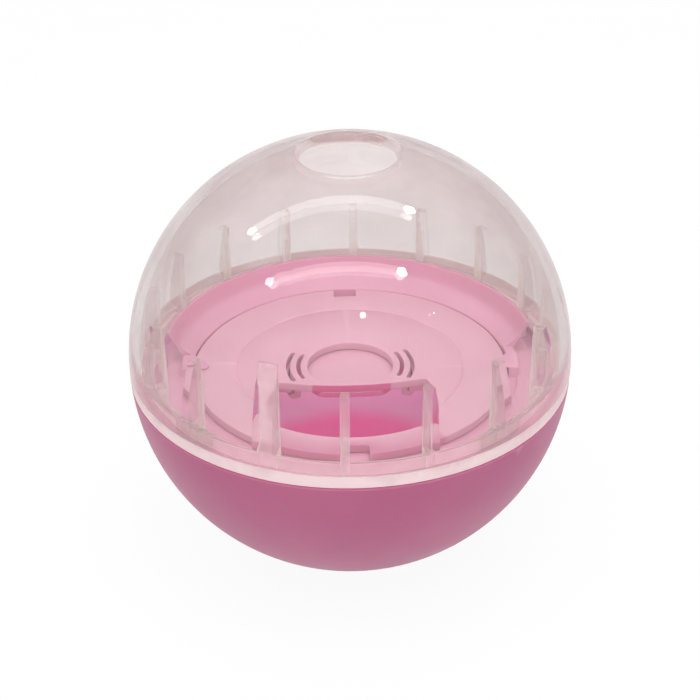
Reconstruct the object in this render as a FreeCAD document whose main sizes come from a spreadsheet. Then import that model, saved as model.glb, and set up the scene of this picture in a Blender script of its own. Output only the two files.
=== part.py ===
"""Parametric treat ball: a bowl, a tray, a turning selector disc and a clear dome.

Millimetres, Z up. The origin is the middle of the flat foot that the ball stands on, and the
front, with the disc's window, looks along -Y. Levels in the sheet are heights above the ball's
centre, so the levels below it are negative.
"""

import FreeCAD, Part
import os

# Driving dimensions

DIMENSIONS = {
    # the ball
    "ball_radius": 55.0,
    "foot_radius": 10.0,
    "foot_pad_radius": 12.0,
    "seam_level": -2.9,
    "seam_gap": 0.25,
    # clearances between pieces that pass each other
    "turning_gap": 0.3,
    "lifting_gap": 0.2,
    "resting_gap": 0.1,
    "tab_foot_gap": 0.5,
    # bowl
    "bowl_wall": 2.4,
    "ledge_width": 9.1,
    "ledge_thickness": 2.0,
    "lug_reach": 2.1,
    "lug_height": 2.0,
    "lug_half_angle": 7.0,
    "stop_gap_angle": 0.6,
    "stop_angle": 1.9,
    "lock_turn": 22.5,
    # dome
    "dome_wall": 2.6,
    "dome_turn": -1.5,
    "band_top_level": 0.75,
    "band_width": 2.9,
    "rib_reach": 1.5,
    "rib_top_level": 17.0,
    "rib_thickness": 2.2,
    "tab_thickness": 1.6,
    "hook_reach": 1.4,
    "hook_height": 1.6,
    "treat_hole_radius": 12.0,
    "lip_radius": 1.6,
    # selector disc
    "disc_top_level": -4.3,
    "disc_thickness": 2.1,
    "disc_turn": 2.0,
    "notch_width": 6.0,
    "notch_depth": 3.6,
    "ring_line_radius": 28.3,
    "ring_line_width": 0.6,
    "ring_line_depth": 0.3,
    "dish_radius": 10.8,
    "dish_depth": 2.2,
    "cup_radius": 12.0,
    "cup_floor": 1.5,
    "window_front_rim": 7.0,
    "window_side_radius": 29.0,
    "window_side_offset": 8.3,
    "window_side_back": 18.5,
    "window_back_radius": 79.0,
    "window_back_edge": 9.6,
    "window_rim": 1.0,
    "arm_inner_radius": 13.6,
    "arm_thickness": 1.7,
    "arm_bridge": 1.6,
    "arm_half_angle": 22.0,
    "slot_width": 1.0,
    "slot_half_angle": 24.0,
    "guide_half_angle": 63.0,
    "catch_reach": 1.3,
    "catch_height": 1.5,
    # tray
    "tray_thickness": 2.0,
    "window_margin": 1.5,
    "step_inset": 2.6,
    "step_height": 0.5,
    "back_half_angle": 79.0,
    "back_top_level": 2.6,
    "back_thickness": 1.2,
    "slope_top_level": -2.2,
    "slope_foot_level": -4.5,
    "slope_width": 5.7,
    "slope_gap": 0.5,
    "key_width": 2.0,
    "key_height": 2.0,
    "key_radial": 1.2,
}

RIB_COUNT = 16
TAB_COUNT = 4
RIB_PITCH = 360 / RIB_COUNT
TAB_PITCH = 360 / TAB_COUNT

# Sizes that follow from the driving ones, as expressions on the sheet

CENTRE = "sqrt(sizes.ball_radius ^ 2 - sizes.foot_radius ^ 2)"
DISC_BOTTOM = "sizes.disc_top_level - sizes.disc_thickness"
TRAY_TOP = f"{DISC_BOTTOM} - sizes.lifting_gap"
TRAY_BOTTOM = f"{TRAY_TOP} - sizes.tray_thickness"
LEDGE_TOP = f"{TRAY_BOTTOM} - sizes.resting_gap"
TAB_BOTTOM = f"{LEDGE_TOP} + sizes.tab_foot_gap"
HOOK_TOP = f"{TAB_BOTTOM} + sizes.hook_height"
LUG_BOTTOM = f"{HOOK_TOP} + sizes.turning_gap"
LUG_TOP = f"{LUG_BOTTOM} + sizes.lug_height"
RIB_FOOT = f"{TRAY_TOP} + sizes.lifting_gap"
BOWL_RIM = "sizes.seam_level - sizes.seam_gap"

BOWL_INSIDE = "sizes.ball_radius - sizes.bowl_wall"
DOME_INSIDE = "sizes.ball_radius - sizes.dome_wall"
LUG_INNER = f"{BOWL_INSIDE} - sizes.lug_reach"
TAB_OUTER = f"{LUG_INNER} - sizes.turning_gap"
TAB_INNER = f"{TAB_OUTER} - sizes.tab_thickness"
TRAY_RADIUS = f"{TAB_INNER} - sizes.turning_gap"
RIB_INNER = f"{TAB_INNER} - sizes.rib_reach"
BACK_OUTER = f"{RIB_INNER} - sizes.turning_gap"
BACK_INNER = f"{BACK_OUTER} - sizes.back_thickness"
SLOPE_FOOT_RADIUS = f"{BACK_INNER} - sizes.slope_width"
DISC_RADIUS = f"{SLOPE_FOOT_RADIUS} - sizes.slope_gap"
ARM_OUTER = "sizes.arm_inner_radius + sizes.arm_thickness"
BORE_RADIUS = f"{ARM_OUTER} + sizes.turning_gap"
CATCH_OUTER = f"{ARM_OUTER} + sizes.catch_reach"
CATCH_TOP = f"{TRAY_BOTTOM} - sizes.turning_gap"
CATCH_BOTTOM = f"{CATCH_TOP} - sizes.catch_height"
LIP_CENTRE = "sizes.treat_hole_radius + sizes.lip_radius"
MID_WALL = "sizes.ball_radius - sizes.dome_wall / 2"

LUG_CENTRE = f"{RIB_PITCH * 2} + sizes.dome_turn - sizes.lock_turn"
TAB_CENTRE = f"{RIB_PITCH * 2} + sizes.dome_turn"

doc = FreeCAD.newDocument("TreatBall")
sheet = doc.addObject("Spreadsheet::Sheet", "sizes")
for row, (alias, value) in enumerate(DIMENSIONS.items(), start=1):
    sheet.set(f"A{row}", alias)
    sheet.set(f"B{row}", str(value))
    sheet.setAlias(f"B{row}", alias)
doc.recompute()


# Building blocks


def turned(angle, x="0", y="0", level=None):
    """Placement expression: moved to x, y and a level above the centre, then turned about Z."""
    height = f"{CENTRE} + ({level})"
    spin = f"placement(vector(0; 0; 0); rotation(vector(0; 0; 1); {angle}))"
    return f"{spin} * placement(vector({x}; {y}; {height}); rotation(vector(0; 0; 1); 0))"


def primitive(kind, name, place, **bound):
    """Add a Part primitive with its place and sizes bound to expressions."""
    item = doc.addObject(f"Part::{kind}", name)
    for prop, expression in bound.items():
        item.setExpression(prop, expression)
    item.setExpression("Placement", place)
    return item


def ball(name, radius):
    """Full sphere about the ball's centre."""
    return primitive("Sphere", name, turned("0", level="0"), Radius=radius)


def post(name, radius, low, high, x="0", y="0", turn="0"):
    """Upright cylinder between two levels."""
    return primitive(
        "Cylinder", name, turned(turn, x, y, low), Radius=radius, Height=f"{high} - ({low})"
    )


def sector(name, radius, low, high, centre, half_angle):
    """Upright pie slice between two levels, centred on an azimuth."""
    return primitive(
        "Cylinder",
        name,
        turned(f"{centre} - ({half_angle})", level=low),
        Radius=radius,
        Height=f"{high} - ({low})",
        Angle=f"2 * ({half_angle})",
    )


def bar(name, inner, outer, low, high, centre, side, width):
    """Box from one radius to another along an azimuth, starting at a sideways offset."""
    return primitive(
        "Box",
        name,
        turned(centre, inner, side, low),
        Length=f"{outer} - ({inner})",
        Width=width,
        Height=f"{high} - ({low})",
    )


def cut(name, base, tool):
    """Base without tool."""
    result = doc.addObject("Part::Cut", name)
    result.Base = base
    result.Tool = tool
    return result


def join(name, pieces):
    """Union of pieces."""
    result = doc.addObject("Part::MultiFuse", name)
    result.Shapes = pieces
    result.Refine = True
    return result


def overlap(name, pieces):
    """What all the pieces share."""
    result = doc.addObject("Part::MultiCommon", name)
    result.Shapes = pieces
    return result


def tube(name, inner, outer, low, high):
    """Full ring between two radii and two levels."""
    return cut(name, post(f"{name}_out", outer, low, high), post(f"{name}_in", inner, low, high))


def arc_wall(name, inner, outer, low, high, centre, half_angle):
    """Ring sector between two radii and two levels."""
    return cut(
        name,
        sector(f"{name}_out", outer, low, high, centre, half_angle),
        post(f"{name}_in", inner, low, high),
    )


def window_prism(name, low, high, margin, turn):
    """Window outline as an upright prism: concentric front edge, convex sides, curved back edge."""
    front = post(f"{name}_front", f"{DISC_RADIUS} - sizes.window_front_rim + {margin}", low, high)
    sides = [
        post(
            f"{name}_side_{label}",
            f"sizes.window_side_radius + {margin}",
            low,
            high,
            x=f"{sign} * sizes.window_side_offset",
            y="-sizes.window_side_back",
            turn=turn,
        )
        for label, sign in (("left", "-1"), ("right", "1"))
    ]
    back = post(
        f"{name}_back",
        f"sizes.window_back_radius - {margin}",
        low,
        high,
        y="sizes.window_back_radius - sizes.window_back_edge",
        turn=turn,
    )
    return cut(name, overlap(f"{name}_lens", [front, *sides]), back)


def piece(node, source):
    """Name the finished sub-part after its node."""
    source.Label = node
    return source


# Bowl: the coloured lower shell with its foot, tray ledge, four lugs and their stops


def build_bowl():
    """Opaque lower shell."""
    foot = f"-({CENTRE})"
    outside = overlap(
        "bowl_outside",
        [
            ball("bowl_ball", "sizes.ball_radius"),
            post("bowl_span", "sizes.ball_radius", foot, BOWL_RIM),
        ],
    )
    shell = cut("bowl_shell", outside, ball("bowl_hollow", BOWL_INSIDE))
    pad = post("foot_pad", "sizes.foot_pad_radius", foot, f"{foot} + sizes.bowl_wall")
    ledge_bottom = f"{LEDGE_TOP} - sizes.ledge_thickness"
    ledge_inner = f"{BOWL_INSIDE} - sizes.ledge_width"
    inward = [tube("ledge", ledge_inner, "sizes.ball_radius", ledge_bottom, LEDGE_TOP)]
    stop_bottom = f"{LEDGE_TOP} - sizes.resting_gap"
    for number in range(TAB_COUNT):
        centre = f"{LUG_CENTRE} + {TAB_PITCH * number}"
        stop_centre = (
            f"{centre} - sizes.lug_half_angle - sizes.stop_gap_angle - sizes.stop_angle / 2"
        )
        inner = LUG_INNER
        outer = "sizes.ball_radius"
        inward.append(
            arc_wall(
                f"lug_{number}", inner, outer, LUG_BOTTOM, LUG_TOP, centre, "sizes.lug_half_angle"
            )
        )
        inward.append(
            arc_wall(
                f"stop_{number}", inner, outer, stop_bottom, LUG_TOP, stop_centre, "sizes.stop_angle / 2"
            )
        )
    skin = ball("bowl_skin", f"{BOWL_INSIDE} + sizes.bowl_wall / 2")
    fittings = [overlap(f"{item.Name}_trimmed", [item, skin]) for item in inward]
    base_pad = overlap("foot_pad_trimmed", [pad, ball("bowl_pad_ball", "sizes.ball_radius")])
    return piece("base_bowl", join("base_bowl", [shell, base_pad, *fittings]))


# Tray: the ring that rests in the bowl, with its window, back wall, slope and rib keys


def build_tray():
    """Tray under the selector disc."""
    floor = post("tray_floor", TRAY_RADIUS, TRAY_BOTTOM, TRAY_TOP)
    front_centre = "-90"
    front_half = "180 - sizes.back_half_angle"
    step = arc_wall(
        "tray_step",
        f"{DISC_RADIUS} + sizes.step_inset",
        BACK_OUTER,
        TRAY_BOTTOM,
        f"{TRAY_TOP} + sizes.step_height",
        front_centre,
        front_half,
    )
    wall = arc_wall(
        "back_wall",
        BACK_INNER,
        BACK_OUTER,
        TRAY_BOTTOM,
        "sizes.back_top_level",
        "90",
        "sizes.back_half_angle",
    )
    slope_blank = arc_wall(
        "slope_blank",
        SLOPE_FOOT_RADIUS,
        f"{BACK_OUTER} - sizes.back_thickness / 2",
        TRAY_BOTTOM,
        "sizes.slope_top_level",
        "90",
        "sizes.back_half_angle",
    )
    slope_space = primitive(
        "Cone",
        "slope_space",
        turned("0", level="sizes.slope_foot_level"),
        Radius1=SLOPE_FOOT_RADIUS,
        Radius2=BACK_INNER,
        Height="sizes.slope_top_level - sizes.slope_foot_level",
    )
    slope = cut("slope", slope_blank, slope_space)
    keys = []
    for label, azimuth in (("right", "0"), ("left", "180")):
        for side, sign in (("near", -1), ("far", 1)):
            gap = "sizes.rib_thickness / 2 + sizes.turning_gap"
            offset = gap if sign > 0 else f"-({gap}) - sizes.key_width"
            keys.append(
                bar(
                    f"key_{label}_{side}",
                    BACK_OUTER,
                    f"{BACK_OUTER} + sizes.key_radial",
                    TRAY_BOTTOM,
                    f"{TRAY_TOP} + sizes.key_height",
                    f"{azimuth} + sizes.dome_turn",
                    offset,
                    "sizes.key_width",
                )
            )
    solid = join("tray_solid", [floor, step, wall, slope, *keys])
    bore = post("tray_bore", BORE_RADIUS, TRAY_BOTTOM, TRAY_TOP)
    window = window_prism("tray_window", TRAY_BOTTOM, TRAY_TOP, "sizes.window_margin", "0")
    openings = join("tray_openings", [bore, window])
    return piece("tray", cut("tray", solid, openings))


# Selector disc: turns on the tray, so that its window and the tray's overlap more or less


def build_disc():
    """Turning disc with a window, a finger dish and two snap arms."""
    turn = "sizes.disc_turn"
    top = "sizes.disc_top_level"
    plate = post("disc_plate", DISC_RADIUS, DISC_BOTTOM, top)
    dish_floor = f"{top} - sizes.dish_depth"
    cup = post("disc_cup", "sizes.cup_radius", f"{dish_floor} - sizes.cup_floor", top)
    solids = [plate, cup]
    cutters = []
    for label, azimuth in (("right", 0), ("left", 180)):
        centre = f"{azimuth} + {turn}"
        arm_top = f"{top} - sizes.disc_thickness / 2"
        solids.append(
            arc_wall(
                f"arm_{label}",
                "sizes.arm_inner_radius",
                ARM_OUTER,
                CATCH_BOTTOM,
                arm_top,
                centre,
                "sizes.arm_half_angle",
            )
        )
        solids.append(
            arc_wall(
                f"catch_{label}",
                "sizes.arm_inner_radius",
                CATCH_OUTER,
                CATCH_BOTTOM,
                CATCH_TOP,
                centre,
                "sizes.arm_half_angle",
            )
        )
        bridge_outer = "sizes.arm_inner_radius + sizes.arm_bridge"
        for edge, inner in (
            ("inner", "sizes.arm_inner_radius - sizes.slot_width"),
            ("outer", bridge_outer),
        ):
            cutters.append(
                arc_wall(
                    f"slot_{label}_{edge}",
                    inner,
                    f"{inner} + sizes.slot_width",
                    DISC_BOTTOM,
                    top,
                    centre,
                    "sizes.slot_half_angle",
                )
            )
    solids.append(
        arc_wall(
            "guide",
            "sizes.arm_inner_radius",
            ARM_OUTER,
            TRAY_BOTTOM,
            top,
            f"90 + {turn}",
            "sizes.guide_half_angle",
        )
    )
    dish_round = post("dish_round", "sizes.dish_radius", dish_floor, top)
    dish_front = post(
        "dish_front",
        "sizes.window_back_radius - sizes.window_rim",
        dish_floor,
        top,
        y="sizes.window_back_radius - sizes.window_back_edge",
        turn=turn,
    )
    cutters.append(overlap("dish", [dish_round, dish_front]))
    cutters.append(window_prism("disc_window", CATCH_BOTTOM, top, "0", turn))
    cutters.append(
        arc_wall(
            "ring_line",
            "sizes.ring_line_radius",
            "sizes.ring_line_radius + sizes.ring_line_width",
            f"{top} - sizes.ring_line_depth",
            top,
            "90",
            "180",
        )
    )
    for label, azimuth in (("front", -90), ("back", 90)):
        cutters.append(
            bar(
                f"notch_{label}",
                f"{DISC_RADIUS} - sizes.notch_depth",
                f"{DISC_RADIUS} + sizes.notch_depth",
                DISC_BOTTOM,
                top,
                f"{azimuth} + {turn}",
                "-sizes.notch_width / 2",
                "sizes.notch_width",
            )
        )
    solid = join("disc_solid", solids)
    return piece("selector_disc", cut("selector_disc", solid, join("disc_cutters", cutters)))


# Dome: the clear upper shell with its thick rim band, ribs, treat hole and lock tabs


def build_dome():
    """Clear upper shell."""
    top = "sizes.ball_radius"
    above = post("dome_span", "sizes.ball_radius", "sizes.seam_level", top)
    outside = overlap("dome_outside", [ball("dome_ball", "sizes.ball_radius"), above])
    shell = cut("dome_shell", outside, ball("dome_hollow", DOME_INSIDE))
    band_blank = tube(
        "band_blank",
        f"{DOME_INSIDE} - sizes.band_width",
        "sizes.ball_radius",
        "sizes.seam_level",
        "sizes.band_top_level",
    )
    skin = ball("dome_skin", MID_WALL)
    parts = [shell, overlap("band", [band_blank, skin])]
    for number in range(RIB_COUNT):
        centre = f"{RIB_PITCH * number} + sizes.dome_turn"
        side = "-sizes.rib_thickness / 2"
        blade = bar(
            f"rib_blank_{number}",
            RIB_INNER,
            top,
            "sizes.seam_level",
            "sizes.rib_top_level",
            centre,
            side,
            "sizes.rib_thickness",
        )
        foot = bar(
            f"rib_foot_{number}",
            RIB_INNER,
            f"{TAB_INNER} + sizes.tab_thickness / 2",
            RIB_FOOT,
            "sizes.band_top_level",
            centre,
            side,
            "sizes.rib_thickness",
        )
        parts.append(overlap(f"rib_{number}", [blade, skin]))
        parts.append(foot)
    for number in range(TAB_COUNT):
        centre = f"{TAB_CENTRE} + {TAB_PITCH * number}"
        parts.append(
            arc_wall(
                f"tab_{number}",
                TAB_INNER,
                TAB_OUTER,
                TAB_BOTTOM,
                "sizes.band_top_level",
                centre,
                "sizes.lug_half_angle",
            )
        )
        parts.append(
            arc_wall(
                f"hook_{number}",
                TAB_INNER,
                f"{TAB_OUTER} + sizes.hook_reach",
                TAB_BOTTOM,
                HOOK_TOP,
                centre,
                "sizes.lug_half_angle",
            )
        )
    closed = join("dome_closed", parts)
    hole = post("treat_hole", LIP_CENTRE, "0", f"{top} + sizes.dome_wall")
    opened = cut("dome_opened", closed, hole)
    lip = primitive(
        "Torus",
        "treat_hole_lip",
        turned("0", level=f"sqrt(({MID_WALL}) ^ 2 - ({LIP_CENTRE}) ^ 2)"),
        Radius1=LIP_CENTRE,
        Radius2="sizes.lip_radius",
    )
    return piece("dome", join("dome", [opened, lip]))


pieces = [build_bowl(), build_tray(), build_disc(), build_dome()]
doc.recompute()

# Checks and export

os.makedirs("parts", exist_ok=True)
for item in doc.Objects:
    if "Invalid" in item.State or "Error" in item.State:
        raise RuntimeError(f"{item.Name} did not compute: {item.State}")
for item in pieces:
    shape = item.Shape
    if shape.isNull() or not shape.isValid() or len(shape.Solids) != 1:
        raise RuntimeError(f"{item.Label}: {len(shape.Solids)} solids, valid {shape.isValid()}")
    shape.exportStep(f"parts/{item.Label}.step")
    box = shape.BoundBox
    print(
        f"{item.Label}: {shape.Volume:.0f} mm3, x {box.XMin:.2f}..{box.XMax:.2f}, "
        f"y {box.YMin:.2f}..{box.YMax:.2f}, z {box.ZMin:.2f}..{box.ZMax:.2f}"
    )
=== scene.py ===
"""Looks of the treat ball: a pink bowl, a tray with a turning disc, and a clear ribbed dome.

Sizes are millimetres. Levels are heights above the ball's centre, radii are distances from the
upright axis, and angles are degrees anticlockwise from +X seen from above. Meshes are worked out
with numpy and placed in metres in the frame of the CAD model.
"""

import logging
import math
from collections.abc import Sequence
from dataclasses import dataclass, field
from enum import Enum
from typing import ClassVar

import bmesh
import bpy
import numpy as np
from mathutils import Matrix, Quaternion, Vector
from mathutils.geometry import delaunay_2d_cdt


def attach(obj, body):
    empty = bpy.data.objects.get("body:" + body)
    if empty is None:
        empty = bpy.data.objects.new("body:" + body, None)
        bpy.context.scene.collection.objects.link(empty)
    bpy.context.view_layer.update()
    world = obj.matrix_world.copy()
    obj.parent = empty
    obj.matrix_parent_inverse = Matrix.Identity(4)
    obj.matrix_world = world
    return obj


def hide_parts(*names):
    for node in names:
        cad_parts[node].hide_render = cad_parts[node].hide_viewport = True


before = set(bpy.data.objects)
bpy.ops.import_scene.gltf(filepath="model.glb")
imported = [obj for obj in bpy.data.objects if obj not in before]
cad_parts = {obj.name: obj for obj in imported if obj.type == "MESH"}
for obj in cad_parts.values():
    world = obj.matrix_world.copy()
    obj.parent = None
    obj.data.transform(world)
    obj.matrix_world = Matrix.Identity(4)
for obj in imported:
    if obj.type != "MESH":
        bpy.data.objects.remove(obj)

log = logging.getLogger("treat_ball")

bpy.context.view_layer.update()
METRES = 0.001
TURN = 2 * math.pi

# Points round a quarter turn edge, rounding of small edges, and steps of sweeps in degrees
EDGE_POINTS = 5
SMALL_ROUNDING = 0.2
BLUNTEST_BEND = 0.8
FINE_STEP = 1.0
COARSE_STEP = 1.5

# Usual span of noise, its roughness, refractive index of plastic, and camera sensor width in mm
NOISE_SPAN = (0.3, 0.7)
NOISE_ROUGHNESS = 0.55
PLASTIC_BENDING = 1.49
SENSOR_WIDTH = 36.0

Socket = bpy.types.NodeSocket
Colour = tuple[float, float, float, float]


class Body(Enum):
    """Rigid bodies of the frame that pieces ride on."""

    BASE = "base"
    INSERT = "insert"
    SELECTOR = "selector"
    LID = "lid"


# Geometry


@dataclass
class Patch:
    """Part of a mesh: points in millimetres about the ball's centre, and faces over them.

    Attributes:
        points: array of shape (n, 3).
        faces: tuples of point numbers.
        tone: share from 0 to 1 at each point that the finish reads, such as milkiness in the clear
            dome, and where painted light, painted shade and painted glow go in the coloured plastics.
    """

    points: np.ndarray
    faces: list[tuple[int, ...]]
    tone: np.ndarray | None = None

    def turned(self, angle: float) -> "Patch":
        """Give a copy turned about the upright axis by an angle in degrees."""
        spin = math.radians(angle)
        cosine, sine = math.cos(spin), math.sin(spin)
        matrix = np.array([[cosine, sine, 0.0], [-sine, cosine, 0.0], [0.0, 0.0, 1.0]])
        return Patch(self.points @ matrix, self.faces, self.tone)


def merged(patches: Sequence[Patch]) -> Patch:
    """Put patches into one, shifting each one's face numbers past the points before it.

    Args:
        patches: the patches, in order.

    Returns:
        One patch with all points, faces and tones.
    """
    points = np.concatenate([patch.points for patch in patches])
    tone = np.concatenate(
        [np.zeros(len(patch.points)) if patch.tone is None else patch.tone for patch in patches]
    )
    faces: list[tuple[int, ...]] = []
    start = 0
    for patch in patches:
        faces += [tuple(number + start for number in face) for face in patch.faces]
        start += len(patch.points)
    return Patch(points, faces, tone)


def grid_faces(rows: int, columns: int, wrap_rows: bool, wrap_columns: bool) -> list[tuple]:
    """Number the four corners of each cell of a grid of points stored row by row.

    Args:
        rows: number of rows.
        columns: number of columns.
        wrap_rows: whether the last row joins the first.
        wrap_columns: whether the last column joins the first.

    Returns:
        One tuple of four point numbers per cell.
    """
    row = np.arange(rows if wrap_rows else rows - 1)[:, None]
    column = np.arange(columns if wrap_columns else columns - 1)[None, :]
    next_row = (row + 1) % rows
    next_column = (column + 1) % columns
    corners = (
        row * columns + column,
        row * columns + next_column,
        next_row * columns + next_column,
        next_row * columns + column,
    )
    cells = np.stack(np.broadcast_arrays(*corners), axis=-1).reshape(-1, 4)
    return [tuple(cell) for cell in cells.tolist()]


def arc(
    radius: float, start: float, end: float, count: int, middle: Sequence = (0.0, 0.0)
) -> np.ndarray:
    """Give points on a circle: middle + radius * (cosine, sine) of evenly spaced angles.

    Args:
        radius: the circle's radius.
        start: first angle in degrees.
        end: last angle in degrees.
        count: number of points.
        middle: the circle's middle.

    Returns:
        Array of shape (count, 2).
    """
    angle = np.radians(np.linspace(start, end, count))
    return np.stack([np.cos(angle), np.sin(angle)], axis=1) * radius + np.asarray(middle)


def sphere_arc(radius: float, low: float, high: float, count: int) -> np.ndarray:
    """Give a profile on a sphere between two levels, as radius and level.

    The latitude runs evenly from arcsin(low / radius) to arcsin(high / radius).
    """
    first = math.degrees(math.asin(low / radius))
    last = math.degrees(math.asin(high / radius))
    return arc(radius, first, last, count)


def rounded(corners: Sequence, size: float, steps: int = 4) -> np.ndarray:
    """Round every corner of a closed outline with a quadratic curve.

    Each corner P gives (1-t)^2 A + 2t(1-t) P + t^2 B, where A and B lie on the two edges, size
    away from P or at most half an edge.

    Args:
        corners: the outline's corners in order.
        size: distance from a corner to where its curve starts.
        steps: number of intervals along each curve.

    Returns:
        Array of points of the rounded outline.
    """
    here = np.asarray(corners, float)
    before = np.roll(here, 1, axis=0) - here
    after = np.roll(here, -1, axis=0) - here
    reach_before = np.linalg.norm(before, axis=1, keepdims=True)
    reach_after = np.linalg.norm(after, axis=1, keepdims=True)
    first = here + before * np.minimum(size / reach_before, 0.5)
    last = here + after * np.minimum(size / reach_after, 0.5)
    share = np.linspace(0.0, 1.0, steps + 1)[None, :, None]
    curve = (
        (1 - share) ** 2 * first[:, None]
        + 2 * share * (1 - share) * here[:, None]
        + share**2 * last[:, None]
    )
    return curve.reshape(-1, 2)


def rounded_run(corners: Sequence, size: float, steps: int = 4) -> np.ndarray:
    """Round the inner corners of an open run, whose two ends only give the directions."""
    return rounded(corners, size, steps)[steps + 1 : -steps - 1]


def swept(profile: np.ndarray, azimuths: np.ndarray, closed: bool) -> Patch:
    """Carry a closed profile round the upright axis.

    A profile point (r, z) at azimuth a is (r cos a, r sin a, z). An open sweep gets its two end
    faces.

    Args:
        profile: array of radius and level.
        azimuths: angles in degrees.
        closed: whether the sweep goes all the way round.

    Returns:
        The swept patch.
    """
    angle = np.radians(azimuths)[:, None]
    radius, level = profile[:, 0][None, :], profile[:, 1][None, :]
    points = np.stack(
        [radius * np.cos(angle), radius * np.sin(angle), level + 0 * angle], axis=-1
    ).reshape(-1, 3)
    rows, columns = len(azimuths), len(profile)
    faces = grid_faces(rows, columns, closed, True)
    if not closed:
        faces.append(tuple(range(columns)))
        faces.append(tuple(range((rows - 1) * columns, rows * columns))[::-1])
    return Patch(points, faces)


def sector(profile: np.ndarray, centre: float, half_angle: float, step: float = 2.0) -> Patch:
    """Carry a profile over an azimuth range about its centre."""
    count = max(3, int(2 * half_angle / step) + 1)
    return swept(profile, np.linspace(centre - half_angle, centre + half_angle, count), False)


def inset(loop: np.ndarray, depth: float) -> np.ndarray:
    """Move a closed outline towards its left side by a depth.

    Each point moves along the sum of its two edges' left normals, lengthened by
    1 / cos(half the bend) so that both edges end up the same depth away. At very sharp bends the
    sum's square counts as BLUNTEST_BEND, so that the point doesn't move too far.

    Args:
        loop: outline points, anticlockwise for an outer edge.
        depth: distance to move.

    Returns:
        The moved points.
    """
    forward = np.roll(loop, -1, axis=0) - loop
    forward /= np.linalg.norm(forward, axis=1, keepdims=True)
    normal = np.stack([-forward[:, 1], forward[:, 0]], axis=1)
    both = normal + np.roll(normal, 1, axis=0)
    square = (both**2).sum(axis=1, keepdims=True)
    return loop + both * (2 * depth / np.maximum(square, BLUNTEST_BEND))


def inside(points: np.ndarray, loop: np.ndarray) -> np.ndarray:
    """Tell which points lie inside a closed outline, by counting crossings of a ray to +X."""
    ahead = np.roll(loop, -1, axis=0)
    low, high = loop[None], ahead[None]
    y = points[:, 1:2]
    spans = (low[..., 1] > y) != (high[..., 1] > y)
    rise = np.where(high[..., 1] == low[..., 1], 1.0, high[..., 1] - low[..., 1])
    cross = low[..., 0] + (y - low[..., 1]) / rise * (high[..., 0] - low[..., 0])
    return (spans & (points[:, 0:1] < cross)).sum(axis=1) % 2 == 1


@dataclass
class Slab:
    """Flat plate with an outline, holes, rounded edges and fine grooves in its top.

    Attributes:
        outer: anticlockwise outline.
        holes: anticlockwise hole outlines.
        low: level of the underside.
        high: level of the top.
        rounding: radius of the edges.
        grooves: (radius, half width, depth) of each round groove about the axis.
    """

    outer: np.ndarray
    holes: list[np.ndarray]
    low: float
    high: float
    rounding: float = 0.25
    grooves: list[tuple[float, float, float]] = field(default_factory=list)

    def loops(self) -> list[np.ndarray]:
        """Give all outlines with the material on their left."""
        return [self.outer, *[hole[::-1] for hole in self.holes]]

    def wall(self, loop: np.ndarray) -> Patch:
        """Build the edge wall: quarter circles at the bottom and top, straight between."""
        quarter = np.radians(np.linspace(0, 90, EDGE_POINTS))
        depth = self.rounding * (1 - np.cos(quarter))
        rise = self.rounding * (1 - np.sin(quarter))
        depths = np.concatenate([depth[::-1], depth])
        levels = np.concatenate([(self.low + rise)[::-1], self.high - rise])
        rows = [
            np.column_stack([inset(loop, inward), np.full(len(loop), level)])
            for inward, level in zip(depths, levels)
        ]
        return Patch(np.concatenate(rows), grid_faces(len(rows), len(loop), False, True))

    def groove_lines(self) -> list[tuple[np.ndarray, float, bool]]:
        """Give the lines across each groove that don't come near a hole.

        Each line is a circle about the axis at a share t from -1 to 1 of the half width. Its level
        is high - depth * (1 - t^2)^2.

        Returns:
            Points, level and whether the line is closed, for each line or part of one.
        """
        lines = []
        angle = np.arange(360)
        for radius, half_width, depth in self.grooves:
            for share in np.linspace(-1, 1, 7):
                circle = arc(radius + share * half_width, 0, 359, 360)
                level = self.high - depth * (1 - share**2) ** 2
                near = np.zeros(len(circle), bool)
                for hole in self.holes:
                    near |= inside(circle, inset(hole, -1.0))
                if not near.any():
                    lines.append((circle, level, True))
                    continue
                first = int(np.argmax(near))
                turned = np.roll(near, -first)
                order = np.roll(angle, -first)[~turned]
                breaks = np.flatnonzero(np.diff(np.flatnonzero(~turned)) > 1) + 1
                lines += [(circle[part], level, False) for part in np.split(order, breaks)]
        return lines

    def cap(self, top: bool) -> Patch:
        """Fill a face between the outlines with triangles, and press the grooves into the top.

        Args:
            top: whether this is the top face.

        Returns:
            The triangles of the face.
        """
        plain = self.high if top else self.low
        edges = [inset(loop, self.rounding) for loop in self.loops()]
        lines = [(edge, plain, True) for edge in edges]
        if top:
            lines += self.groove_lines()
        joints = []
        start = 0
        for line, _, closed in lines:
            numbers = np.arange(len(line)) + start
            pairs = np.stack([numbers, np.roll(numbers, -1)], axis=1)
            joints += [tuple(pair) for pair in pairs[: None if closed else -1].tolist()]
            start += len(line)
        flat = [Vector(point) for line, _, _ in lines for point in line.tolist()]
        levels = np.concatenate([np.full(len(line), level) for line, level, _ in lines])
        found = delaunay_2d_cdt(flat, joints, [], 0, 1e-6)
        points = np.array([tuple(point) for point in found[0]])
        source = np.array([numbers[0] if numbers else 0 for numbers in found[3]])
        triangles = np.array([tuple(face) for face in found[2]])
        middles = points[triangles].mean(axis=1)
        keep = inside(middles, edges[0])
        for hole in edges[1:]:
            keep &= ~inside(middles, hole)
        faces = [tuple(face) for face in triangles[keep].tolist()]
        return Patch(np.column_stack([points, levels[source]]), faces)

    def build(self) -> Patch:
        """Put the walls and both faces together."""
        return merged([*[self.wall(loop) for loop in self.loops()], self.cap(True), self.cap(False)])


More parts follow.
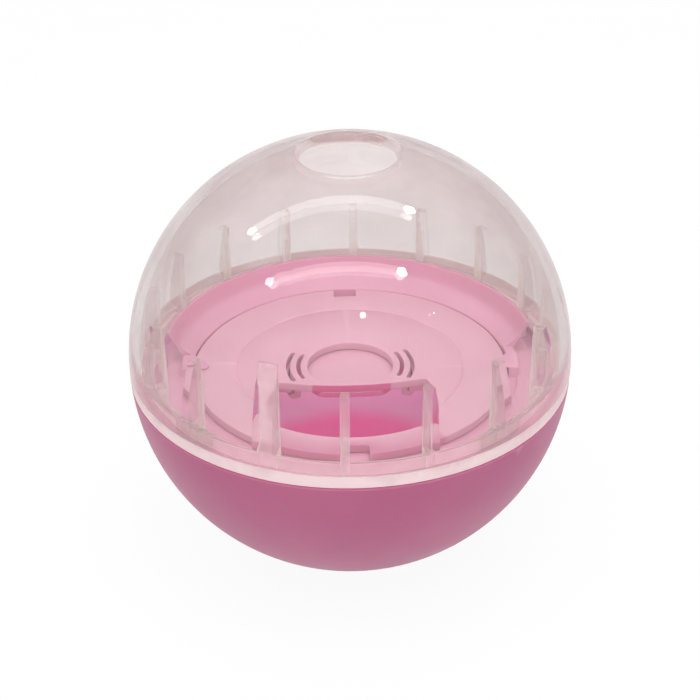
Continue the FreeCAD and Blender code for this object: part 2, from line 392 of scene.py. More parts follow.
def ray_parts(
    angle: np.ndarray, start: Sequence, middle: Sequence, radius: float
) -> tuple[np.ndarray, np.ndarray]:
    """Give m.d and (m.d)^2 - m.m + radius^2 for unit rays d, where m = start - middle."""
    ray = np.stack([np.cos(angle), np.sin(angle)], axis=1)
    offset = np.asarray(start, float) - np.asarray(middle, float)
    along = ray @ offset
    return along, along**2 - offset @ offset + radius**2


def reach_inside(angle: np.ndarray, start: Sequence, middle: Sequence, radius: float) -> np.ndarray:
    """Distance along rays from a start inside a circle to that circle."""
    along, root = ray_parts(angle, start, middle, radius)
    return -along + np.sqrt(np.maximum(root, 0.0))


def reach_outside(
    angle: np.ndarray, start: Sequence, middle: Sequence, radius: float, far: float
) -> np.ndarray:
    """Distance along rays from a start outside a circle to that circle, or far where they miss."""
    along, root = ray_parts(angle, start, middle, radius)
    near = -along - np.sqrt(np.maximum(root, 0.0))
    return np.where((root > 0) & (near > 0), near, far)


def soft_least(distances: Sequence[np.ndarray], power: float) -> np.ndarray:
    """Smallest of several distances with rounded corners: (sum of d^-p)^(-1/p)."""
    stack = np.stack(distances)
    least = stack.min(axis=0)
    return least * ((least / stack) ** power).sum(axis=0) ** (-1 / power)


def soft_most(distances: Sequence[np.ndarray], power: float) -> np.ndarray:
    """Largest of several distances with rounded corners: (sum of d^p)^(1/p)."""
    stack = np.stack(distances)
    most = stack.max(axis=0)
    return most * ((stack / most) ** power).sum(axis=0) ** (1 / power)


def from_polar(angle: np.ndarray, reach: np.ndarray, start: Sequence) -> np.ndarray:
    """Outline points at start + reach * (cosine, sine) of the angle."""
    ray = np.stack([np.cos(angle), np.sin(angle)], axis=1)
    return ray * reach[:, None] + np.asarray(start, float)


@dataclass(frozen=True)
class WindowShape:
    """Window outline: front edge about the axis, two convex sides and a back edge that bows forward."""

    front_radius: float = 32.4
    side_radius: float = 29.0
    side_offset: float = 8.3
    side_back: float = 18.5
    back_radius: float = 79.0
    back_edge: float = 9.6
    corner_power: float = 60.0
    start: tuple[float, float] = (0.0, -20.0)
    points: int = 300
    circle_points: int = 160

    def reach(self, angle: np.ndarray, start: Sequence, margin: float) -> np.ndarray:
        """Distance from a start in the window to its edge, with the outline grown by a margin.

        Args:
            angle: ray angles in radians.
            start: point inside the window.
            margin: how far the outline is moved outwards.

        Returns:
            Distances along the rays.
        """
        edges = [reach_inside(angle, start, (0, 0), self.front_radius + margin)]
        for side in (-1, 1):
            middle = (side * self.side_offset, -self.side_back)
            edges.append(reach_inside(angle, start, middle, self.side_radius + margin))
        back = (0, self.back_radius - self.back_edge)
        edges.append(
            reach_outside(angle, start, back, self.back_radius - margin, self.back_radius)
        )
        return soft_least(edges, self.corner_power)

    def outline(self) -> np.ndarray:
        """Give the window's outline."""
        angle = np.arange(self.points) * TURN / self.points
        return from_polar(angle, self.reach(angle, self.start, 0.0), self.start)

    def behind(self, circle: float, rim: float) -> np.ndarray:
        """Give a circle about the axis, cut off a rim's width behind the window's back edge."""
        angle = np.arange(self.circle_points) * TURN / self.circle_points
        middle = (0, self.back_radius - self.back_edge)
        front = reach_inside(angle, (0, 0), middle, self.back_radius - rim)
        reach = soft_least([np.full(self.circle_points, circle), front], self.corner_power)
        return from_polar(angle, reach, (0, 0))


def arc_slot(
    inner: float, outer: float, centre: float, half_angle: float, points: int = 26, cap: int = 7
) -> np.ndarray:
    """Outline of a curved slot with round ends: outer arc, half circle, inner arc, half circle.

    Args:
        inner: radius of the inner side.
        outer: radius of the outer side.
        centre: azimuth of the slot's middle.
        half_angle: angle from the middle to the middle of a round end.
        points: number of points along each side.
        cap: number of points along each end.

    Returns:
        Anticlockwise outline.
    """
    middle = (inner + outer) / 2
    end = (outer - inner) / 2
    first, last = centre - half_angle, centre + half_angle
    last_cap = arc(end, last, last + 180, cap, arc(middle, last, last, 1)[0])
    first_cap = arc(end, first + 180, first + 360, cap, arc(middle, first, first, 1)[0])
    outer_side = arc(outer, first, last, points)[1:-1]
    inner_side = arc(inner, last, first, points)[1:-1]
    return np.concatenate([outer_side, last_cap, inner_side, first_cap])


# Finishes


def srgb(red: int, green: int, blue: int) -> Colour:
    """Turn 0-255 display values into the linear colour that the shaders use."""

    def linear(value: int) -> float:
        """Undo the display curve of one channel."""
        share = value / 255
        return share / 12.92 if share <= 0.04045 else ((share + 0.055) / 1.055) ** 2.4

    return linear(red), linear(green), linear(blue), 1.0


class Nodes:
    """Small helper that adds and links the nodes of a material or of the world."""

    def __init__(self, owner: bpy.types.Material | bpy.types.World) -> None:
        """Start with an empty node tree."""
        owner.use_nodes = True
        self.owner = owner
        self.tree = owner.node_tree
        self.tree.nodes.clear()

    def add(self, kind: str, inputs: dict | None = None, **settings: str | bool) -> bpy.types.Node:
        """Add a node.

        Args:
            kind: the node's type name.
            inputs: input name or number to the socket that feeds it or the value that it gets.
            settings: node settings.

        Returns:
            The node.
        """
        node = self.tree.nodes.new(kind)
        for name, value in settings.items():
            setattr(node, name, value)
        for name, value in (inputs or {}).items():
            self.fill(node.inputs[name], value)
        return node

    def fill(self, place: Socket, value: Socket | float | Sequence) -> None:
        """Feed an input from a socket, or set it to a plain value."""
        if isinstance(value, Socket):
            self.tree.links.new(value, place)
        else:
            place.default_value = value

    def shader(self, kind: str, inputs: dict | None = None) -> Socket:
        """Add a shader node and give its shader."""
        return self.add(kind, inputs).outputs[0]

    def tone(self) -> Socket:
        """Read the tone of the mesh's points."""
        return self.add("ShaderNodeAttribute", attribute_name="tone").outputs["Fac"]

    def math(self, operation: str, *values: Socket | float, clamp: bool = False) -> Socket:
        """Work out a sum, product or the like of sockets and plain values."""
        inputs = dict(enumerate(values))
        return self.add("ShaderNodeMath", inputs, operation=operation, use_clamp=clamp).outputs[0]

    def mapped(
        self, value: Socket, start: float, end: float, low: float = 0.0, high: float = 1.0
    ) -> Socket:
        """Map the range from start to end onto low to high, and hold it between them."""
        ranges = {"From Min": start, "From Max": end, "To Min": low, "To Max": high}
        return self.add("ShaderNodeMapRange", {"Value": value, **ranges}).outputs["Result"]

    def noise(self, scale: float, detail: float) -> Socket:
        """Noise over Object coordinates."""
        place = self.add("ShaderNodeTexCoord").outputs["Object"]
        inputs = {"Vector": place, "Scale": scale, "Detail": detail, "Roughness": NOISE_ROUGHNESS}
        return self.add("ShaderNodeTexNoise", inputs).outputs["Fac"]

    def clouds(self, scale: float, detail: float, low: float = 0.0, high: float = 1.0) -> Socket:
        """Noise whose usual span is mapped onto low to high."""
        return self.mapped(self.noise(scale, detail), *NOISE_SPAN, low, high)

    def mixed_colour(self, share: Socket, first: Socket | Colour, second: Socket | Colour) -> Socket:
        """Blend two colours by a share."""
        node = self.add("ShaderNodeMix", {"Factor": share}, data_type="RGBA")
        for name, colour in (("A", first), ("B", second)):
            self.fill(next(s for s in node.inputs if s.name == name and s.type == "RGBA"), colour)
        return next(s for s in node.outputs if s.type == "RGBA")

    def mixed_shader(self, share: Socket, first: Socket, second: Socket) -> Socket:
        """Blend two shaders by a share."""
        return self.shader("ShaderNodeMixShader", {0: share, 1: first, 2: second})

    def bump(self, height: Socket, strength: float, depth: float) -> Socket:
        """Turn a pattern into a surface normal, with its depth in millimetres."""
        inputs = {"Height": height, "Strength": strength, "Distance": depth * METRES}
        return self.add("ShaderNodeBump", inputs).outputs["Normal"]

    def finish(self, shader: Socket) -> bpy.types.Material:
        """Feed the material's output and give the material."""
        self.add("ShaderNodeOutputMaterial", {"Surface": shader})
        return self.owner


@dataclass(frozen=True)
class ColouredPlastic:
    """Opaque moulded plastic with slight clouding, fine flow texture and paler worn edges.

    Attributes:
        name: material name.
        colour: main colour.
        cloud: colour of the faint clouds.
        edge: colour of worn edges.
        shade: painted shade colour at a tone of one half, for parts that lie lower and get less light;
            in the bowl it is a paler colour painted as light.
        inner: painted shade colour at a tone of one, for faces that lie inside or under other parts.
        roughness: lowest and highest roughness.
        depth: how far light travels inside the plastic, in millimetres.
        glow: painted glow, an emission of shaded and inner faces that stands in for light that has come
            through the wall.
        reach: share of the depth that red, green and blue light travel.
        shade_tone: tone at which the shade colour is full.
        worn_span: how sharp an edge is where wear starts and where it is full.
        worn_share: how much of the edge colour full wear shows.
        cloud_scale: fineness of the clouds.
        smear_scale: fineness of the changes in roughness.
        texture_scale: fineness of the flow texture.
        texture_strength: strength of the flow texture.
        texture_depth: depth of the flow texture, in millimetres.
    """

    name: str
    colour: Colour
    cloud: Colour
    edge: Colour
    shade: Colour
    inner: Colour
    roughness: tuple[float, float]
    depth: float = 0.0
    glow: float = 0.0
    reach: tuple[float, float, float] = (1.0, 0.35, 0.55)
    shade_tone: float = 0.5
    worn_span: tuple[float, float] = (0.52, 0.62)
    worn_share: float = 0.45
    cloud_scale: float = 42.0
    smear_scale: float = 60.0
    texture_scale: float = 1400.0
    texture_strength: float = 0.1
    texture_depth: float = 0.012

    def build(self) -> bpy.types.Material:
        """Build the node material."""
        nodes = Nodes(bpy.data.materials.new(self.name))
        tone = nodes.mixed_colour(nodes.clouds(self.cloud_scale, 3.0), self.colour, self.cloud)
        # The tone paints shade and light: from the main colour to the shade colour, and on to the inner
        # colour.
        place = nodes.tone()
        shaded = nodes.mapped(place, 0.0, self.shade_tone)
        deep = nodes.mapped(place, self.shade_tone, 1.0)
        inward = nodes.mixed_colour(deep, self.shade, self.inner)
        tone = nodes.mixed_colour(shaded, tone, inward)
        sharpness = nodes.add("ShaderNodeNewGeometry").outputs["Pointiness"]
        worn = nodes.mapped(sharpness, *self.worn_span, 0.0, self.worn_share)
        tone = nodes.mixed_colour(worn, tone, self.edge)
        smear = nodes.clouds(self.smear_scale, 3.0, *self.roughness)
        texture = nodes.noise(self.texture_scale, 2.0)
        normal = nodes.bump(texture, self.texture_strength, self.texture_depth)
        inputs = {"Base Color": tone, "Roughness": smear, "Normal": normal, "IOR": PLASTIC_BENDING}
        if self.depth:
            inputs["Subsurface Weight"] = 1.0
            inputs["Subsurface Radius"] = self.reach
            inputs["Subsurface Scale"] = self.depth * METRES
        # Painted glow: emission that stands in for light coming through the wall.
        if self.glow:
            inputs["Emission Strength"] = nodes.math("MULTIPLY", shaded, self.glow)
            inputs["Emission Color"] = inward
        return nodes.finish(nodes.shader("ShaderNodeBsdfPrincipled", inputs))


@dataclass(frozen=True)
class ClearPlastic:
    """Clear moulded plastic: glass-like, with a milky share that follows the tone attribute.

    Attributes:
        name: material name.
        tint: colour that the clear part lets through.
        haze_colour: colour of the haze in the plain wall.
        ribs: colour of the slightly milky parts, such as the ribs.
        milk: colour of the milky parts, at a tone of one.
        milk_share: how much the milkiness adds to the hazy share at its most.
        milk_tones: tones where the milkiness starts and where it is at its most.
        rib_tones: tones where the ribs' colour starts and where it is full.
        white_tones: tones where the milk's colour starts and where it is full.
        passing: share of the milky light that has come through from behind, in the ribs and
            in the milky parts.
        milk_roughness: roughness of the haze and the milky parts.
        haze: hazy share of the plain wall seen straight on.
        rim_haze: how much the hazy share grows towards the outline.
        rim_power: how late it grows.
        cloudiness: lowest and highest factor of the clouds in the haze.
        cloud_scale: fineness of these clouds.
        bending: how strongly the wall bends light.
        shine: strength of reflections.
        roughness: lowest and highest roughness.
        smear_scale: fineness of the changes in roughness.
        wave_scale: fineness of the wall's waviness.
        wave_strength: strength of the waviness.
        wave_depth: depth of the waviness, in millimetres.
        lamp_share: share of lamp light that goes straight through.
    """

    name: str
    tint: Colour
    haze_colour: Colour
    ribs: Colour
    milk: Colour
    milk_share: float = 0.85
    milk_tones: tuple[float, float] = (0.2, 0.32)
    rib_tones: tuple[float, float] = (0.2, 0.23)
    white_tones: tuple[float, float] = (0.5, 1.0)
    passing: tuple[float, float] = (0.9, 0.3)
    milk_roughness: float = 0.35
    haze: float = 0.1
    rim_haze: float = 0.3
    rim_power: float = 2.0
    cloudiness: tuple[float, float] = (0.75, 1.25)
    cloud_scale: float = 70.0
    bending: float = 1.05
    shine: float = 0.9
    roughness: tuple[float, float] = (0.02, 0.06)
    smear_scale: float = 90.0
    wave_scale: float = 55.0
    wave_strength: float = 0.1
    wave_depth: float = 0.15
    lamp_share: float = 0.9

    def clear_wall(self, nodes: Nodes, normal: Socket, smear: Socket) -> Socket:
        """Shader of the clear wall, with a shiny coat that gives the reflections."""
        inputs = {
            "Roughness": smear,
            "Normal": normal,
            "Base Color": self.tint,
            "Transmission Weight": 1.0,
            "IOR": self.bending,
            "Coat Weight": self.shine,
            "Coat Roughness": self.roughness[0],
            "Coat IOR": PLASTIC_BENDING,
        }
        return nodes.shader("ShaderNodeBsdfPrincipled", inputs)

    def milky_wall(self, nodes: Nodes, normal: Socket, tone: Socket) -> Socket:
        """Shader of the haze and the milky parts, partly lit from behind."""
        white = nodes.mapped(tone, *self.white_tones)
        rib_share = nodes.mapped(tone, *self.rib_tones)
        colour = nodes.mixed_colour(rib_share, self.haze_colour, self.ribs)
        colour = nodes.mixed_colour(white, colour, self.milk)
        inputs = {"Normal": normal, "Base Color": colour, "Roughness": self.milk_roughness}
        milk = nodes.shader("ShaderNodeBsdfPrincipled", inputs)
        glow = nodes.shader("ShaderNodeBsdfTranslucent", {"Color": colour})
        return nodes.mixed_shader(nodes.mapped(white, 0.0, 1.0, *self.passing), milk, glow)

    def build(self) -> bpy.types.Material:
        """Build the node material."""
        nodes = Nodes(bpy.data.materials.new(self.name))
        smear = nodes.clouds(self.smear_scale, 4.0, *self.roughness)
        wave = nodes.noise(self.wave_scale, 2.0)
        normal = nodes.bump(wave, self.wave_strength, self.wave_depth)
        clear = self.clear_wall(nodes, normal, smear)
        tone = nodes.tone()
        milky = nodes.mapped(tone, *self.milk_tones, 0.0, self.milk_share)
        soft = self.milky_wall(nodes, normal, tone)
        cloud = nodes.clouds(self.cloud_scale, 4.0, *self.cloudiness)
        facing = nodes.add("ShaderNodeLayerWeight").outputs["Facing"]
        steep = nodes.math("POWER", facing, self.rim_power)
        hazy = nodes.math("MULTIPLY_ADD", steep, self.rim_haze, self.haze)
        share = nodes.math("MULTIPLY", nodes.math("ADD", hazy, milky), cloud, clamp=True)
        body = nodes.mixed_shader(share, clear, soft)
        shadow = nodes.add("ShaderNodeLightPath").outputs["Is Shadow Ray"]
        straight = nodes.math("MULTIPLY", shadow, self.lamp_share)
        through = nodes.shader("ShaderNodeBsdfTransparent")
        return nodes.finish(nodes.mixed_shader(straight, body, through))


class Finish(Enum):
    """Finishes of the four pieces, each with the record's material slot as its name."""

    # The bowl's shade and inner colours and its glow are painted light and shade inside it: a paler
    # glowing wall above the ledge and a deep saturated bottom.
    BOWL = ColouredPlastic(
        "bowl_pink",
        colour=srgb(168, 92, 124),
        cloud=srgb(162, 86, 119),
        edge=srgb(200, 134, 160),
        shade=srgb(214, 150, 192),
        inner=srgb(228, 74, 164),
        roughness=(0.42, 0.5),
        depth=0.5,
        glow=0.4,
    )
    # The tray's shade colour is painted shade on its back wall.
    TRAY = ColouredPlastic(
        "tray_pink",
        colour=srgb(214, 156, 181),
        cloud=srgb(209, 150, 176),
        edge=srgb(228, 188, 206),
        shade=srgb(206, 132, 162),
        inner=srgb(196, 96, 142),
        roughness=(0.2, 0.26),
    )
    # The disc's shade colour is painted shade in front of its window and under it; its inner colour is
    # painted shadow on the edge behind the window and under the cup.
    DISC = ColouredPlastic(
        "disc_pink",
        colour=srgb(211, 162, 180),
        cloud=srgb(206, 155, 175),
        edge=srgb(226, 190, 206),
        shade=srgb(194, 120, 151),
        inner=srgb(206, 88, 142),
        roughness=(0.3, 0.36),
    )
    DOME = ClearPlastic(
        "clear_dome",
        tint=(0.98, 0.965, 0.955, 1.0),
        haze_colour=srgb(201, 184, 181),
        ribs=srgb(255, 247, 243),
        milk=srgb(226, 206, 208),
    )


# Pieces


@dataclass
class BallSizes:
    """Sizes that several pieces share."""

    radius: float = 55.0
    foot_radius: float = 10.0
    seam: float = -2.9
    seam_gap: float = 0.25
    dome_turn: float = -1.5
    tab_count: int = 4
    lug_half_angle: float = 7.0
    lock_turn: float = 22.5
    tab_azimuth: float = 45.0

    def tab_azimuths(self) -> list[float]:
        """Azimuths of the dome's tabs at rest."""
        first = self.tab_azimuth + self.dome_turn
        return [first + 360 / self.tab_count * number for number in range(self.tab_count)]

    @property
    def centre(self) -> float:
        """Height of the ball's centre over its foot."""
        return math.sqrt(self.radius**2 - self.foot_radius**2)


BALL = BallSizes()


def closed_shell(patch: Patch) -> bpy.types.Mesh:
    """Turn one closed patch into a mesh in metres with its faces pointing outwards.

    Args:
        patch: points about the ball's centre and their faces.

    Returns:
        The mesh, without doubled points.
    """
    lifted = (patch.points + np.array([0.0, 0.0, BALL.centre])) * METRES
    mesh = bpy.data.meshes.new("shell")
    mesh.from_pydata(lifted.tolist(), [], patch.faces)
    tone = np.zeros(len(patch.points)) if patch.tone is None else patch.tone
    shares = mesh.attributes.new("tone", "FLOAT", "POINT")
    shares.data.foreach_set("value", tone.astype(np.float32))
    form = bmesh.new()
    form.from_mesh(mesh)
    bmesh.ops.remove_doubles(form, verts=form.verts, dist=1e-7)
    for parts, context in ((form.edges, "EDGES"), (form.verts, "VERTS")):
        loose = [part for part in parts if not part.link_faces]
        bmesh.ops.delete(form, geom=loose, context=context)
    bmesh.ops.recalc_face_normals(form, faces=form.faces)
    if form.calc_volume(signed=True) < 0:
        bmesh.ops.reverse_faces(form, faces=form.faces)
    form.to_mesh(mesh)
    form.free()
    return mesh


class SubAssembly:
    """Base of the ball's pieces: each is one mesh of closed shells that rides on one body.

    Attributes:
        name: object name.
        body: body that the piece rides on.
        node: CAD node that the piece stands for.
        finish: the piece's finish.
        sharp: edges that bend more than this many degrees stay crisp.
    """

    name: ClassVar[str]
    body: ClassVar[Body]
    node: ClassVar[str]
    finish: ClassVar[Finish]
    sharp: ClassVar[float] = 40.0

    def shells(self) -> list[Patch]:
        """Give the closed shells about the ball's centre, which may overlap."""
        raise NotImplementedError

    def build(self) -> bpy.types.Object:
        """Make the mesh object in the frame's metres, tie it to its body, and hide the CAD node that it
        stands for.
        """
        form = bmesh.new()
        for patch in self.shells():
            shell = closed_shell(patch)
            form.from_mesh(shell)
            bpy.data.meshes.remove(shell)
        mesh = bpy.data.meshes.new(self.name)
        form.to_mesh(mesh)
        form.free()
        mesh.shade_smooth()
        mesh.set_sharp_from_angle(angle=math.radians(self.sharp))
        piece = bpy.data.objects.new(self.name, mesh)
        bpy.context.scene.collection.objects.link(piece)
        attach(piece, self.body.value)
        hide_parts(self.node)
        return piece

    def dress(self, piece: bpy.types.Object) -> None:
        """Give the piece its material."""
        finish = self.finish.value
        piece.data.materials.append(finish.build())


@dataclass
class Bowl(SubAssembly):
    """Lower shell with its foot, tray ledge, four lugs and their stops.

    Attributes:
        lug_root: how far the lugs' feet and tops end inside the middle of the wall.
        tone_start: how far below the rim the inside's painted light and shade start.
        tone_depth: how far inside the wall's material the inside's painted light and shade reach.
        painted_shade_levels: levels between which the inside's painted colour darkens from the pale
            shade colour to the deep inner colour, a painted shade on the bottom; its painted glow is
            full below the ledge.
        upper_painted_light: tone above the ledge, a paler colour with some painted glow, painted as
            light.
    """

    name = "bowl_shell"
    body = Body.BASE
    node = "base_bowl"
    finish = Finish.BOWL

    wall: float = 2.4
    pad_radius: float = 12.0
    ledge_inner: float = 43.5
    ledge_levels: tuple[float, float] = (-10.7, -8.7)
    lug_inner: float = 50.5
    lug_levels: tuple[float, float] = (-6.3, -4.3)
    stop_bottom: float = -8.8
    stop_half_angle: float = 0.95
    stop_offset: float = 8.55
    lug_rounding: float = 0.25
    lug_root: tuple[float, float] = (0.6, 0.3)
    rim_rounding: float = 0.35
    ledge_rounding: float = 0.3
    foot_blend: float = 0.02
    foot_edge: float = 0.3
    pad_blend: float = 1.3
    outer_points: int = 60
    inner_points: int = 50
    rim_points: int = 8
    columns: int = 240
    tone_start: float = 0.6
    tone_depth: float = 1.0
    upper_painted_light: float = 0.26
    painted_shade_levels: tuple[float, float] = (-42.0, -39.5)

    @property
    def rim(self) -> float:
        """Level of the rim."""
        return BALL.seam - BALL.seam_gap

    @property
    def hollow(self) -> float:
        """Radius of the inner sphere."""
        return BALL.radius - self.wall

    def profile(self) -> np.ndarray:
        """Closed wall profile: foot, outer sphere, rim, inner sphere, ledge and pad."""
        hollow, foot = self.hollow, -BALL.centre
        pad_top = foot + self.wall
        low, high = self.ledge_levels
        size = self.rim_rounding
        level = self.rim - size
        outer = sphere_arc(BALL.radius, foot + self.foot_blend, level, self.outer_points)
        inner_top = sphere_arc(hollow, level, high, self.rim_points)
        inner_low = sphere_arc(hollow, low, pad_top + self.pad_blend, self.inner_points)
        rim_outer = math.sqrt(BALL.radius**2 - self.rim**2)
        rim_inner = math.sqrt(hollow**2 - self.rim**2)
        edge_out = arc(size, 0, 90, EDGE_POINTS, (rim_outer - size, level))
        edge_in = arc(size, 90, 180, EDGE_POINTS, (rim_inner + size, level))
        corners = [
            (inner_top[-1, 0], high),
            (self.ledge_inner, high),
            (self.ledge_inner, low),
            (inner_low[0, 0], low),
        ]
        ledge = rounded_run(corners, self.ledge_rounding)
        under = [(0.0, foot), (BALL.foot_radius - self.foot_edge, foot)]
        pad = [(self.pad_radius, pad_top), (0.0, pad_top)]
        return np.concatenate([under, outer, edge_out, edge_in, inner_top, ledge, inner_low, pad])

    def tones(self, points: np.ndarray) -> np.ndarray:
        """Tone of the inside: upper_painted_light above the ledge, and below it 0.5 growing to 1.

        It grows between the two painted_shade_levels, so that a paler glowing wall painted as light
        gives way to a deep saturated bottom painted as shade. The rim and the outside keep a tone of 0.
        """
        level = points[:, 2]
        deep, shallow = self.painted_shade_levels
        within = np.linalg.norm(points, axis=1) < self.hollow + self.tone_depth
        upper = within & (level < self.rim - self.tone_start)
        lower = within & (level < self.ledge_levels[0] - self.rim_rounding)
        bottom_painted_shade = 0.5 + 0.5 * np.clip((shallow - level) / (shallow - deep), 0, 1)
        return np.where(lower, bottom_painted_shade, np.where(upper, self.upper_painted_light, 0.0))

    def shell(self) -> Patch:
        """Carry the wall's profile round the axis."""
        azimuths = np.arange(self.columns) * 360 / self.columns
        patch = swept(self.profile(), azimuths, True)
        patch.tone = self.tones(patch.points)
        return patch

    def fittings(self) -> list[Patch]:
        """Build the four lugs that hold the dome down, each with the stop at its end."""
        outer = BALL.radius - self.wall / 2
        low, high = self.lug_levels
        low_root, high_root = self.lug_root
        result = []
        for azimuth in BALL.tab_azimuths():
            centre = azimuth - BALL.lock_turn
            for bottom, middle, half in (
                (low, centre, BALL.lug_half_angle),
                (self.stop_bottom, centre - self.stop_offset, self.stop_half_angle),
            ):
                corners = [
                    (self.lug_inner, bottom),
                    (outer - low_root, bottom),
                    (outer - high_root, high),
                    (self.lug_inner, high),
                ]
                outline = rounded(corners, self.lug_rounding)
                result.append(sector(outline, middle, half, FINE_STEP))
        return result

    def shells(self) -> list[Patch]:
        """Wall and fittings."""
        return [self.shell(), *self.fittings()]


@dataclass
class Tray(SubAssembly):
    """Tray with its window, front step, C-shaped back wall, slope and rib keys.

    Attributes:
        margin: how much wider than the disc's window the tray's window is, on each side.
        sunk: how deep the parts on the floor reach into it.
        toe: corners of the right toe, seen from above.
        painted_wall_shade: tone of the painted shade on the back wall above its slope.
    """

    name = "tray_insert"
    body = Body.INSERT
    node = "tray"
    finish = Finish.TRAY

    radius: float = 48.3
    bottom: float = -8.6
    top: float = -6.6
    bore: float = 15.6
    margin: float = 1.5
    step_inner: float = 42.0
    step_height: float = 0.5
    back_outer: float = 46.8
    back_inner: float = 45.9
    back_top: float = 2.6
    back_half_angle: float = 81.5
    back_turn: float = 2.0
    back_foot: tuple[float, float] = (42.5, -4.9)
    slope_foot: tuple[float, float] = (39.9, -4.5)
    slope_top: tuple[float, float] = (44.2, -1.1)
    painted_wall_shade: float = 0.35
    wall_fade: float = 0.8
    key_offset: float = 1.4
    key_width: float = 2.0
    key_reach: float = 1.2
    key_top: float = -4.6
    key_rounding: float = 0.3
    sunk: float = 0.5
    floor_rounding: float = 0.3
    step_rounding: float = 0.25
    back_rounding: float = 0.3
    back_fillet: float = 2.0
    fillet_steps: int = 8
    toe: tuple[tuple[float, float], ...] = (
        (42.4, -0.6),
        (42.4, 6.3),
        (39.5, 6.0),
        (37.4, 3.3),
        (35.4, 1.0),
        (36.2, -0.7),
    )
    toe_levels: tuple[float, float] = (-4.2, -3.7)
    toe_half_angle: float = 90.0
    toe_turns: tuple[float, float] = (2.0, -3.0)
    toe_rounding: float = 0.5
    block_set_back: float = 0.1
    block_drop: float = 0.15
    block_overlap: float = 1.0
    opening_start: tuple[float, float] = (0.0, -12.0)
    opening_points: int = 480
    opening_power: float = 8.0
    window: WindowShape = field(default_factory=WindowShape)

    def floor(self) -> Patch:
        """Plate with one opening: the larger of the bore's and the window's reach on each ray."""
        start = self.opening_start
        angle = np.arange(self.opening_points) * TURN / self.opening_points
        bore = reach_inside(angle, start, (0, 0), self.bore)
        reach = soft_most([bore, self.window.reach(angle, start, self.margin)], self.opening_power)
        opening = from_polar(angle, reach, start)
        outline = arc(self.radius, 0, 360 - COARSE_STEP, round(360 / COARSE_STEP))
        return Slab(outline, [opening], self.bottom, self.top, self.floor_rounding).build()

    def step(self) -> Patch:
        """Low step along the front half."""
        corners = [
            (self.step_inner, self.bottom + self.sunk),
            (self.back_outer, self.bottom + self.sunk),
            (self.back_outer, self.top + self.step_height),
            (self.step_inner, self.top + self.step_height),
        ]
        half = 180 - self.back_half_angle
        outline = rounded(corners, self.step_rounding)
        return sector(outline, -90 + self.back_turn, half, COARSE_STEP)

    def back(self) -> Patch:
        """Back wall, which leans outwards, and slope in one profile."""
        corners = [
            (self.slope_foot[0], self.bottom + self.sunk),
            (self.back_foot[0], self.bottom + self.sunk),
            self.back_foot,
            (self.back_outer, self.back_top),
            (self.back_inner, self.back_top),
            self.slope_top,
            self.slope_foot,
        ]
        outline = rounded(corners, self.back_rounding)
        fillet = rounded_run(corners[-3:], self.back_fillet, self.fillet_steps)
        count = len(outline) // len(corners)
        bend = corners.index(self.slope_top) * count
        profile = np.concatenate([outline[:bend], fillet, outline[bend + count :]])
        patch = sector(profile, 90 + self.back_turn, self.back_half_angle, COARSE_STEP)
        # Painted shade on the back wall above the slope, fading in over wall_fade.
        above_slope = patch.points[:, 2] - self.slope_top[1]
        patch.tone = self.painted_wall_shade * np.clip(0.5 + above_slope / self.wall_fade, 0, 1)
        return patch

    def keys(self) -> list[Patch]:
        """Four small blocks that stand beside two of the dome's ribs."""
        result = []
        inner, outer = self.back_outer, self.back_outer + self.key_reach
        bottom = self.bottom + self.sunk
        for azimuth in (0, 180):
            for side in (-1, 1):
                near = side * self.key_offset
                low, high = sorted((near, near + side * self.key_width))
                corners = [(inner, low), (outer, low), (outer, high), (inner, high)]
                outline = rounded(corners, self.key_rounding)
                block = Slab(outline, [], bottom, self.key_top, SMALL_ROUNDING).build()
                result.append(block.turned(azimuth + BALL.dome_turn))
        return result

    def toes(self) -> list[Patch]:
        """Low block at each end of the back wall, with a toe that reaches over the disc's rim."""
        low, high = self.toe_levels
        inner, outer = self.slope_foot[0] + self.block_set_back, self.back_foot[0]
        bottom, top = self.bottom + self.sunk, high - self.block_drop
        block = [(inner, bottom), (outer, bottom), (outer, top), (inner, top)]
        strip = rounded(block, self.step_rounding)
        result = []
        for side, turn in zip((-1, 1), self.toe_turns):
            corners = np.array(self.toe) * (side, 1)
            outline = rounded(corners[::side], self.toe_rounding)
            result.append(Slab(outline, [], low, high, SMALL_ROUNDING).build().turned(turn))
            wall_end = 90 + self.back_turn - side * self.back_half_angle
            front = 90 + turn - side * self.toe_half_angle
            half = abs(front - wall_end) / 2 + self.block_overlap
            result.append(sector(strip, (front + wall_end) / 2, half, FINE_STEP))
        return result

    def shells(self) -> list[Patch]:
        """Floor, front step, back wall, toes and keys."""
        return [self.floor(), self.step(), self.back(), *self.toes(), *self.keys()]


